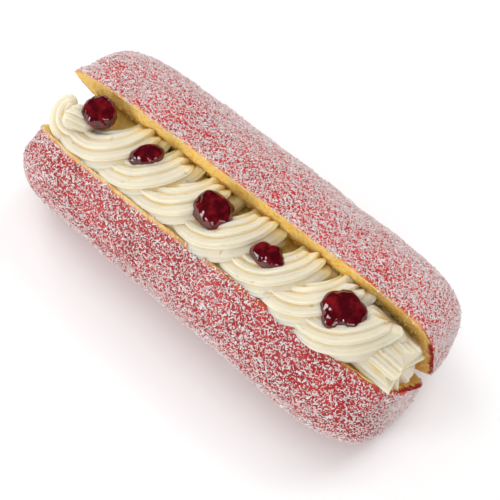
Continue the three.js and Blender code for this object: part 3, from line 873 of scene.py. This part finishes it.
def lying_axes(normals, rng, tilt, roll):
    """Axes of things lying on a surface: any turn, a small slope, and a small roll about their length."""
    each = (len(normals), 1)
    steepest = 5
    slanting = [0.31, 0.17, 0.93]
    turn = rng.uniform(0, 2 * np.pi, each)
    slope = tilt * np.clip(rng.standard_t(df=3, size=each), -steepest, steepest)
    twist = rng.normal(0, roll, each)
    east = unit(np.cross(normals, slanting))
    north = np.cross(normals, east)
    flat = east * np.cos(turn) + north * np.sin(turn)
    along = flat * np.cos(slope) + normals * np.sin(slope)
    over = normals * np.cos(slope) - flat * np.sin(slope)
    across = np.cross(over, along)
    return np.stack([along, across * np.cos(twist) + over * np.sin(twist),
                     over * np.cos(twist) - across * np.sin(twist)], axis=1)


def scattered_mesh(name, shape, faces, centres, axes, sizes, bend, rng):
    """Copies of a shape joined in one mesh: each scaled, bent along its length, uneven, turned and placed.

    A copy that would reach below the floor is lifted onto it.
    """
    number = len(centres)
    narrowing, unevenness = 0.45, 0.13
    local = shape[None] * sizes[:, None, :]
    local[..., 2] -= bend[:, None] * (2 * shape[None, :, 0]) ** 2
    local[..., 1] *= 1 - narrowing * rng.random((number, 1)) * np.abs(2 * shape[None, :, 0])
    local += rng.uniform(-unevenness, unevenness, local.shape) * sizes[:, None, 1:2]
    points = centres[:, None] + np.einsum("nkj,njc->nkc", local, axes)
    points[..., 2] -= np.minimum(points[..., 2].min(axis=1, keepdims=True), 0)
    corners = faces[None] + (np.arange(number) * len(shape))[:, None, None]
    return mesh_from(name, points.reshape(-1, 3), corners.reshape(-1, faces.shape[1]))


def coconut_weight(sampler, coconut):
    """Coconut by area: less at the lips, underneath and on the front half, and in patches."""
    x, y, z = sampler.middles.T
    rim_share, under_share, patchiness = 0.04, 0.35, 0.28
    fewest, most = 0.4, 1.5
    at_right_end = smoothstep(x, 0.066, 0.076)
    off_rim = smoothstep(sampler.lips - coconut.end_rim * at_right_end, coconut.bare_rim, coconut.full_rim)
    off_floor = smoothstep(z, 0.0002, 0.003)
    in_front = smoothstep(-y, 0.008, 0.022)
    patches = np.clip(1 + patchiness * layered_noise(sampler.middles, COCONUT_PATCHES), fewest, most)
    rim = rim_share + (1 - rim_share) * off_rim
    under = under_share + (1 - under_share) * off_floor
    return rim * under * (1 - coconut.front_thinning * in_front) * patches


def coconut_mesh(coconut, kind, shape, faces, sampler, weight, seed):
    """Slivers of one kind in one mesh, which lie on the coating, the sunken ones stained the most."""
    rng = np.random.default_rng(seed)
    number = getattr(coconut, f"{kind}_count")
    centres, normals = sampler.places(number, weight, rng)
    middle_sizes = getattr(coconut, f"{kind}_length"), getattr(coconut, f"{kind}_width"), coconut.thickness
    sizes = [size * rng.uniform(*spread, number) for size, spread in zip(middle_sizes, SLIVER_SPREADS)]
    sizes = np.stack(sizes, axis=-1)
    lowest, highest = -0.1, 1.1
    lift = coconut.thickness * rng.uniform(lowest, highest, number)
    bend = sizes[:, 0] * rng.normal(loc=0.06, scale=0.08, size=number)
    axes = lying_axes(normals, rng, coconut.tilt, roll=0.4)
    lifted = centres + normals * lift[:, None]
    mesh = scattered_mesh(f"coconut_{kind}s", shape, faces, lifted, axes, sizes, bend, rng)
    usual_stain, drier_when_raised = 0.15, 0.3
    stain = rng.beta(a=1.1, b=2.2, size=number) - drier_when_raised * lift / coconut.thickness + usual_stain
    store(mesh, "stain", np.repeat(np.clip(stain, 0, 1), len(shape)))
    return mesh


class LAMINGTON_OT_coconut(Operator):
    """Desiccated coconut over the coating: bent shreds, flat chips, grains, flecks and specks"""
    bl_idname = "lamington.coconut"
    bl_label = "Coconut"

    def execute(self, context):
        coconut = context.scene.lamington_coconut
        sampler = SkinSampler(bpy.data.objects[SPONGE_PIECE].data, SKIN_SLOT)
        weight = coconut_weight(sampler, coconut)
        material = coconut_material(coconut)
        shapes = {
            "shred": strip_shape(rings=3),
            "chip": strip_shape(rings=2),
            "grain": prism_shape(),
            "fleck": prism_shape(),
            "speck": prism_shape(),
        }
        for seed, (kind, (shape, faces)) in enumerate(shapes.items(), start=31):
            mesh = coconut_mesh(coconut, kind, shape, faces, sampler, weight, seed)
            add_piece(mesh.name, mesh, [material], "coated_sponge", smooth=False)
        return {"FINISHED"}


def crumb_weight(sampler):
    """Loose crumbs by area: most in a band below the lips, a few elsewhere, none at the ends."""
    few = 0.01
    below_lip = smoothstep(sampler.lips, 0.004, 0.009)
    over_hinge = smoothstep(sampler.lips, 0.022, 0.014)
    off_ends = smoothstep(np.abs(sampler.middles[:, 0]), 0.078, 0.072)
    return (below_lip * over_hinge + few) * off_ends


class LAMINGTON_OT_crumbs(Operator):
    """Loose crumbs clinging to the torn parts of the cut faces"""
    bl_idname = "lamington.crumbs"
    bl_label = "Crumbs"

    def execute(self, context):
        log = context.scene.lamington_log
        rng = np.random.default_rng(41)
        sponge = bpy.data.objects[SPONGE_PIECE]
        sampler = SkinSampler(sponge.data, CRUMB_SLOT)
        centres, normals = sampler.places(log.crumb_count, crumb_weight(sampler), rng)
        sizes = log.crumb_size * rng.uniform(0.4, 1.5, (log.crumb_count, 1))
        sizes = sizes * rng.uniform(0.7, 1.3, (log.crumb_count, 3))
        axes = lying_axes(normals, rng, tilt=0.6, roll=0.6)
        shape, faces = strip_shape(rings=3)
        middle_ring, fuller = slice(4, 8), 1.5
        shape[middle_ring, 1:] *= fuller
        unbent = np.zeros(log.crumb_count)
        mesh = scattered_mesh("sponge_crumbs", shape, faces, centres, axes, sizes, unbent, rng)
        add_piece("sponge_crumbs", mesh, [sponge.data.materials[CRUMB_SLOT]], "coated_sponge", smooth=False)
        return {"FINISHED"}


# Cream

TO_FRONT = np.array([0.0, -1.0, 0.0])
UPWARDS = np.array([0.0, 0.0, 1.0])


def outwards(turn):
    """Level direction from the middle of a bend: to the front at no turn, to the right at a quarter."""
    return np.stack([np.sin(turn), -np.cos(turn), np.zeros_like(turn)], axis=-1)


class CreamForm:
    """Star-nozzle strands laid in the slit, as places along, across and over it."""

    # Slow waver of the teeth, as amounts and waves round a strand, and two beats of fine lines on a ridge
    tooth_waver = ((0.05, 3), (0.03, 5))
    fine_lines = (4.3, 1.7)
    ridge_spread = (0.8, 1.2)
    points_a_tooth = 14
    # Height under the lip where the cream may begin to stand out, and the room that it has at the least
    lip_blend = 0.0015
    least_room = 0.0002

    def __init__(self, form, cream):
        self.form = form
        self.cream = cream
        self.clearance = cream.gap / math.cos(form.half_angle)

    def half_width(self, height):
        """Room to either side of the slit's middle plane."""
        return height * math.tan(self.form.half_angle) - self.clearance

    def tooth_profile(self, turn, rng, softness):
        """Star outline as a share of the radius, with each place's tooth and its height on that tooth.

        The ridges are rounded, uneven in width and height, and steeper on their outer side; a soft strand
        has lower ridges and stronger fine lines on them.
        """
        cream = self.cream
        teeth = cream.strand_teeth
        waver = sum(amount * np.sin(waves * turn + rng.uniform(0, 6)) for amount, waves in self.tooth_waver)
        phase = teeth * (turn + waver) / (2 * math.pi)
        tooth = np.floor(phase).astype(int) % teeth
        crest = np.sin(math.pi * (phase - np.floor(phase)) ** cream.ridge_lean)
        ridge = rng.uniform(*self.ridge_spread, teeth)[tooth]
        quick, slow = self.fine_lines
        fine = np.cos(2 * math.pi * quick * phase) * np.cos(2 * math.pi * slow * phase + 1)
        groove, stria = cream.groove_depth * (1 - softness), cream.stria_depth * (1 + softness)
        profile = 1 - groove * (1 - ridge * crest) + stria * fine * crest
        return profile, tooth, crest

    def strand(self, name, path, steps, seed, fingers=0.0, inner=math.inf, softness=0.0):
        """Star profile carried along a path, with ridges that end unevenly, kept between the cut faces.

        The path gives the middle, two directions across it and a size for each step, reach and turn;
        fingers is the share of the path by which one ridge may reach further than the next. In a bend
        tighter than the strand its inner side is pressed flat at the inner depth.
        """
        rng = np.random.default_rng(seed)
        around = self.points_a_tooth * self.cream.strand_teeth
        step, turn = np.meshgrid(np.linspace(0, 1, steps + 1), np.arange(around) * 2 * math.pi / around,
                                 indexing="ij")
        profile, tooth, crest = self.tooth_profile(turn, rng, softness)
        uneven = rng.uniform(-1, 1, self.cream.strand_teeth)[tooth] + crest - 1
        near_end = smoothstep(step, 0.6, 1)
        reach = step + fingers * uneven * near_end * (step < 1)
        middle, out, up, size = path(step, reach, turn)
        radius = size * profile
        radius = radius + (size > 0) * self.swell(middle, radius, out, up, turn, seed)
        outward = np.maximum(radius * np.cos(turn), -inner)[..., None]
        points = middle + out * outward + up * (radius * np.sin(turn))[..., None]
        room = np.maximum(self.half_width(points[..., 2]), self.least_room)
        over_lip = smoothstep(points[..., 2], self.form.lip_height - self.lip_blend, self.form.lip_height)
        across = np.clip(points[..., 1], -room - self.cream.rim_overhang * over_lip, room)
        placed = self.form.in_slit(points[..., 0], across, points[..., 2])
        mesh = mesh_from(name, placed.reshape(-1, 3), grid_quads(steps + 1, around, closed=True))
        weld(mesh)
        return bpy.data.objects.new(name, mesh)

    def swell(self, middle, radius, out, up, turn, seed):
        """Unevenness of a strand's radius: slow swellings, a fine grain and a few pits."""
        points = middle + (out * np.cos(turn)[..., None] + up * np.sin(turn)[..., None]) * radius[..., None]
        swelling, roughness, pit_depth = 0.00035, 0.00006, 0.0007
        slow = swelling * lattice_noise(points, cell=0.006, seed=seed + 100)
        grain = roughness * lattice_noise(points, cell=0.0013, seed=seed)
        in_pit = smoothstep(lattice_noise(points, cell=0.0019, seed=seed + 200), 0.8, 0.9)
        return slow + grain - pit_depth * in_pit

    def shell(self, index):
        """Piped shell: an arc from under its left neighbour, along the front lip and round to the back."""
        cream = self.cream
        centre = cream.shell_centres[index]
        rightmost = index == len(cream.shell_centres) - 1
        start, end = cream.shell_start, cream.last_shell_end if rightmost else cream.shell_end

        def path(step, reach, turned):
            turn = start + (end - start) * reach
            along = cream.shell_bend * np.sin(turn)
            across = cream.shell_front_line + cream.shell_bend * (1 - np.cos(turn))
            back = smoothstep(turn, cream.shell_back_from, cream.shell_end)
            hidden = smoothstep(-turn, 0, -cream.shell_start)
            height = cream.shell_height + cream.shell_rise * along + cream.shell_lift * centre
            height = height - cream.shell_back_drop * back - cream.shell_start_drop * hidden
            size = cream.strand_radius * end_taper(step, cream.shell_start_taper, cream.shell_end_taper)
            return np.stack([centre + along, across, height], axis=-1), outwards(turn), UPWARDS, size

        return self.strand(f"shell_{index}", path, steps=84, seed=50 + index, fingers=0.035)

    def tail(self):
        """Lower strand that runs out along the slit at the right end: its teeth end in uneven points.

        Past the last full ring the strand closes in a hollow cone, so that the teeth stand free.
        """
        cream = self.cream
        last_ring, parted_from, pole_depth = 0.92, 0.5, 1.2
        pole = cream.tail_end - pole_depth * cream.tail_point
        blunt = cream.tail_taper / 100

        def path(step, reach, turned):
            closing = smoothstep(step, last_ring, 1)
            parted = smoothstep(step, parted_from, last_ring)
            run = np.minimum(step / last_ring, 1) + reach - step
            finger = np.abs(np.sin(turned * cream.tail_fingers / 2))
            points = cream.tail_point * (1 - finger) * parted
            along = cream.tail_start + (cream.tail_end - cream.tail_start) * run - points
            along = along + (pole - along) * np.where(step < 1, closing, 1)
            height = cream.tail_height - cream.tail_fall * step ** 2
            middle = np.stack([along, cream.tail_across - cream.tail_drift * step, height], axis=-1)
            tip = 1 - (1 - cream.tail_tip) * parted
            size = cream.strand_radius * cream.tail_size * tip * end_taper(step, cream.tail_taper, blunt)
            return middle, TO_FRONT, UPWARDS, size * (1 - closing)

        return self.strand("tail", path, steps=84, seed=70, fingers=0.04, softness=0.45)

    def fold(self):
        """Short straight strand from the curl's peak in under the first jam dot."""
        cream = self.cream
        start, end = np.array(cream.fold_start), np.array(cream.fold_end)

        def path(step, reach, turned):
            middle = start + (end - start) * step[..., None]
            closing = end_taper(step, cream.fold_taper, cream.fold_taper)
            return middle, TO_FRONT, UPWARDS, cream.strand_radius * cream.fold_size * closing

        return self.strand("fold", path, steps=40, seed=72)

    def curl(self):
        """Strand that curls round the left end and rises to the point where the nozzle was pulled off."""
        cream = self.cream
        rise_from, thin_from = 0.3, 0.35

        def path(step, reach, turned):
            turn = cream.curl_start + (cream.curl_end - cream.curl_start) * step
            along = cream.curl_centre[0] + cream.curl_bend * np.sin(turn)
            across = cream.curl_centre[1] - cream.curl_bend * np.cos(turn)
            height = cream.curl_centre[2] + cream.curl_rise * smoothstep(step, rise_from, 1)
            thin = 1 - (1 - cream.curl_thin) * smoothstep(step, thin_from, 1)
            closing = end_taper(step, cream.shell_start_taper, cream.shell_start_taper)
            size = cream.strand_radius * thin * closing
            return np.stack([along, across, height], axis=-1), outwards(turn), UPWARDS, size

        inner = cream.curl_bend - cream.curl_eye
        return self.strand("curl", path, steps=84, seed=71, inner=inner, softness=-0.6)

    def core(self):
        """Wedge of cream that fills the slit under the shells, lower at the back than at the front."""
        cream = self.cream
        rings = 41
        along = np.linspace(-cream.core_half, cream.core_half, rings).repeat(4)
        height = np.tile([cream.core_foot, cream.core_foot, cream.core_back, cream.core_front], rings)
        across = np.tile([-1, 1, 1, -1], rings) * self.half_width(height)
        last = 4 * rings - 1
        caps = [[0, 1, 2, 3], [last, last - 1, last - 2, last - 3]]
        quads = np.concatenate([grid_quads(rings, 4, closed=True), caps])
        mesh = mesh_from("core", self.form.in_slit(along, across, height), quads)
        weld(mesh)
        return bpy.data.objects.new("core", mesh)


def end_taper(step, start_share, end_share):
    """Full in the middle of a strand, closing to a point in a quarter circle over a share at either end."""
    nearest = np.minimum(np.minimum(step / start_share, (1 - step) / end_share), 1)
    return np.sqrt(np.maximum(0, 1 - (1 - nearest) ** 2))


def groove_shade_share(mesh, rounds, depth):
    """How deep each point lies in a hollow, from 0 to 1 at the given depth; it sets the cream's painted shade
    in grooves and hollows.

    The points are replaced by the mean of their neighbours a number of times, and a point lies as deep
    as this smoothed surface stands over it.
    """
    first, second = values_of(mesh.edges, "vertices", width=2, kind=np.int32).T
    ends, others = np.concatenate([first, second]), np.concatenate([second, first])
    number = len(mesh.vertices)
    neighbours = np.bincount(ends, minlength=number)[:, None]
    points = point_array(mesh)
    smooth = points
    for _ in range(rounds):
        sums = [np.bincount(ends, smooth[others, axis], number) for axis in range(3)]
        smooth = np.stack(sums, axis=-1) / neighbours
    return np.clip(((smooth - points) * normal_array(mesh)).sum(axis=-1) / depth, 0, 1)


def union_mesh(name, strands):
    """One closed skin round all the strands, by a Boolean union."""
    others = bpy.data.collections.new(name)
    bpy.context.scene.collection.children.link(others)
    first = strands[0]
    bpy.context.scene.collection.objects.link(first)
    for strand in strands[1:]:
        others.objects.link(strand)
    join = first.modifiers.new("union", "BOOLEAN")
    join.operation = "UNION"
    join.operand_type = "COLLECTION"
    join.collection = others
    join.solver = "MANIFOLD"
    evaluated = first.evaluated_get(bpy.context.evaluated_depsgraph_get())
    mesh = bpy.data.meshes.new_from_object(evaluated)
    for strand in strands:
        bpy.data.objects.remove(strand)
    bpy.data.collections.remove(others)
    mesh.name = name
    mesh.materials.clear()
    mesh.polygons.foreach_set("material_index", np.zeros(len(mesh.polygons), dtype=np.int32))
    return mesh


def cream_slit_shade_share(piping, points):
    """Share of painted golden shade on the cream, from 0 to 1: deep in the slit, and less along the back.

    The tail and the filling's left end are left without it.
    """
    cream = piping.cream
    x = points[:, 0]
    across, height = piping.form.slit_place(points)
    back_shade_amount, tail_blend, left_blend = 0.5, 0.006, 0.008
    # Painted shade deep in the slit, and at the back under the shells' tips
    deep = smoothstep(height, cream.slit_shade_from, cream.slit_shade_full)
    below_tips = smoothstep(height, 0.053, 0.0475)
    to_back = smoothstep(across, 0.003, 0.010)
    off_tail = smoothstep(x, cream.tail_start, cream.tail_start - tail_blend)
    off_left_end = smoothstep(x, -cream.core_half, -cream.core_half + left_blend)
    return np.maximum(deep, back_shade_amount * below_tips * to_back) * off_tail * off_left_end


class LAMINGTON_OT_cream(Operator):
    """Piped cream: seven overlapping shells, the curl and its fold, the tail and the filling below"""
    bl_idname = "lamington.cream"
    bl_label = "Piped Cream"

    def execute(self, context):
        cream = context.scene.lamington_cream
        piping = CreamForm(LogForm(context.scene.lamington_log), cream)
        strands = [piping.core(), piping.tail(), piping.curl(), piping.fold()]
        strands += [piping.shell(index) for index in range(len(cream.shell_centres))]
        mesh = union_mesh("piped_cream", strands)
        # Hollows and grooves, where shade is painted on the cream
        store(mesh, "hollow", groove_shade_share(mesh, rounds=40, depth=0.0007))
        # Painted golden shade deep in the slit
        store(mesh, "depth", cream_slit_shade_share(piping, point_array(mesh)))
        add_piece("piped_cream", mesh, [cream_material(cream)], "cream", "cream")
        return {"FINISHED"}


# Jam

JAM_FRUIT = ((0.9, 0.0042, 80), (0.7, 0.0022, 81), (0.3, 0.0011, 82))


def jam_outline(direction, lobes, width):
    """Outline of a dot in each direction: 1 plus a rounded bump at each lobe."""
    outline = np.ones_like(direction)
    for lobe, amount in lobes:
        apart = (direction - math.radians(lobe) + math.pi) % (2 * math.pi) - math.pi
        outline = outline + amount * np.exp(-(apart / width) ** 2)
    return outline


def jam_points(form, jam, dot, number):
    """Lobed dot of jam: an ellipsoid, fuller below, with lobes round it, pressed fruit and seeds."""
    half = dot["half"]
    rotation = math.radians(dot["turn"])
    rings, around, fullness_below = 65, 128, 0.7
    tilt, turn = np.meshgrid(np.linspace(0, math.pi, rings), np.arange(around) * 2 * math.pi / around,
                             indexing="ij")
    ring = np.where(tilt < math.pi / 2, np.sin(tilt) ** fullness_below, np.sin(tilt))
    ring = ring * jam_outline(turn + rotation, dot["lobes"], jam.lobe_width)
    local = np.stack([half[0] * ring * np.cos(turn), half[1] * ring * np.sin(turn), -half[2] * np.cos(tilt)],
                     axis=-1)
    fruit = layered_noise(local + number, JAM_FRUIT)
    local += unit(local) * (jam.fruit_height * fruit)[..., None]
    along = local[..., 0] * math.cos(rotation) - local[..., 1] * math.sin(rotation)
    across = local[..., 0] * math.sin(rotation) + local[..., 1] * math.cos(rotation)
    return form.in_slit(dot["place"][0] + along, dot["place"][1] + across, dot["place"][2] + local[..., 2])


class LAMINGTON_OT_jam(Operator):
    """Dots of jam pressed into the cream"""
    bl_idname = "lamington.jam"
    bl_label = "Jam Dots"

    def execute(self, context):
        jam = context.scene.lamington_jam
        form = LogForm(context.scene.lamington_log)
        material = jam_material(jam)
        for number, (node, dot) in enumerate(JAM_DOTS.items()):
            points = jam_points(form, jam, dot, number)
            name = f"jam_dot_{number + 1}"
            mesh = mesh_from(name, points.reshape(-1, 3), grid_quads(*points.shape[:2], closed=True))
            weld(mesh)
            add_piece(name, mesh, [material], "jam", node)
        return {"FINISHED"}


# Stage

def directions(turn, rise):
    """Direction from the log to a place turned to the right and raised, and what is right as seen from it."""
    back = np.array([math.sin(turn) * math.cos(rise), -math.cos(turn) * math.cos(rise), math.sin(rise)])
    return back, np.array([math.cos(turn), math.sin(turn), 0.0])


def add_aimed(name, data, place, right, back):
    """Light or camera at a place, with its back and its right side in the given directions."""
    aimed = bpy.data.objects.new(name, data)
    axes = Matrix(np.stack([right, np.cross(back, right), back], axis=1)).to_4x4()
    aimed.matrix_world = Matrix.Translation(place) @ axes
    bpy.context.scene.collection.objects.link(aimed)
    return aimed


def add_light(name, azimuth, elevation, size, power, mirrored=True):
    """Square soft light round the log: azimuth in degrees from the front to the right, elevation above it.

    A light that isn't mirrored only fills the shade, and doesn't show on the glossy jam.
    """
    distance = 1.1
    back, right = directions(math.radians(azimuth), math.radians(elevation))
    light = bpy.data.lights.new(name, "AREA")
    light.size = size
    light.energy = power
    lamp = add_aimed(name, light, back * distance, right, back)
    lamp.visible_glossy = mirrored


def add_camera(stage):
    """Camera at the photograph's angle, aimed a little off the middle instead of shifted."""
    back, right = directions(stage.azimuth, stage.elevation)
    up = np.cross(back, right)
    place = np.array(stage.middle) + back * stage.distance
    aimed = unit(back - stage.aim[0] * right - stage.aim[1] * up)
    level = unit(right - aimed * (right @ aimed))
    lens = bpy.data.cameras.new("camera")
    lens.lens = stage.lens
    lens.clip_start = 0.01
    bpy.context.scene.camera = add_aimed("camera", lens, place, level, aimed)


class LAMINGTON_OT_stage(Operator):
    """Pale floor, soft lights and the camera"""
    bl_idname = "lamington.stage"
    bl_label = "Stage"

    def execute(self, context):
        stage = context.scene.lamington_stage
        half = stage.floor_size / 2
        corners = np.array([[-half, -half, 0], [half, -half, 0], [half, half, 0], [-half, half, 0]])
        mesh = mesh_from("floor", corners, np.array([[0, 1, 2, 3]]))
        mesh.materials.append(floor_material(stage))
        floor = bpy.data.objects.new("floor", mesh)
        context.scene.collection.objects.link(floor)
        world = bpy.data.worlds.new("sky")
        world.use_nodes = True
        background = world.node_tree.nodes["Background"]
        background.inputs["Color"].default_value = (1, 1, 1, 1)
        background.inputs["Strength"].default_value = stage.sky_strength
        world.cycles_visibility.glossy = False
        context.scene.world = world
        add_light("front_right", azimuth=48, elevation=24, size=0.40, power=stage.right_power)
        add_light("front_left", azimuth=-28, elevation=16, size=0.42, power=stage.left_power)
        add_light("overhead", azimuth=0, elevation=85, size=1.0, power=stage.top_power, mirrored=False)
        add_light("left_side", azimuth=-105, elevation=42, size=0.6, power=stage.side_power, mirrored=False)
        add_light("behind", azimuth=165, elevation=46, size=0.6, power=stage.back_power, mirrored=False)
        add_camera(stage)
        context.scene.view_settings.view_transform = "Standard"
        return {"FINISHED"}


# Add-on

class LAMINGTON_PT_panel(Panel):
    """Steps that make the lamington, in order"""
    bl_idname = "LAMINGTON_PT_panel"
    bl_label = "Lamington"
    bl_space_type = "VIEW_3D"
    bl_region_type = "UI"
    bl_category = "Lamington"

    def draw(self, context):
        for step in STEPS:
            self.layout.operator(step.bl_idname)


SETTINGS = {
    "lamington_log": LamingtonLog,
    "lamington_coconut": LamingtonCoconut,
    "lamington_cream": LamingtonCream,
    "lamington_jam": LamingtonJam,
    "lamington_stage": LamingtonStage,
}
STEPS = (LAMINGTON_OT_stage, LAMINGTON_OT_sponge, LAMINGTON_OT_coconut, LAMINGTON_OT_crumbs,
         LAMINGTON_OT_cream, LAMINGTON_OT_jam)
CLASSES = (*SETTINGS.values(), *STEPS, LAMINGTON_PT_panel)


def register():
    """Registers the classes and hangs their settings on the scene."""
    for one in CLASSES:
        bpy.utils.register_class(one)
    for name, group in SETTINGS.items():
        setattr(bpy.types.Scene, name, PointerProperty(type=group))


def unregister():
    """Takes the settings and the classes away again."""
    for name in SETTINGS:
        delattr(bpy.types.Scene, name)
    for one in reversed(CLASSES):
        bpy.utils.unregister_class(one)


def main():
    """Makes every piece in order."""
    register()
    for step in STEPS:
        group, name = step.bl_idname.split(".")
        getattr(getattr(bpy.ops, group), name)()


if __name__ == "__main__":
    main()
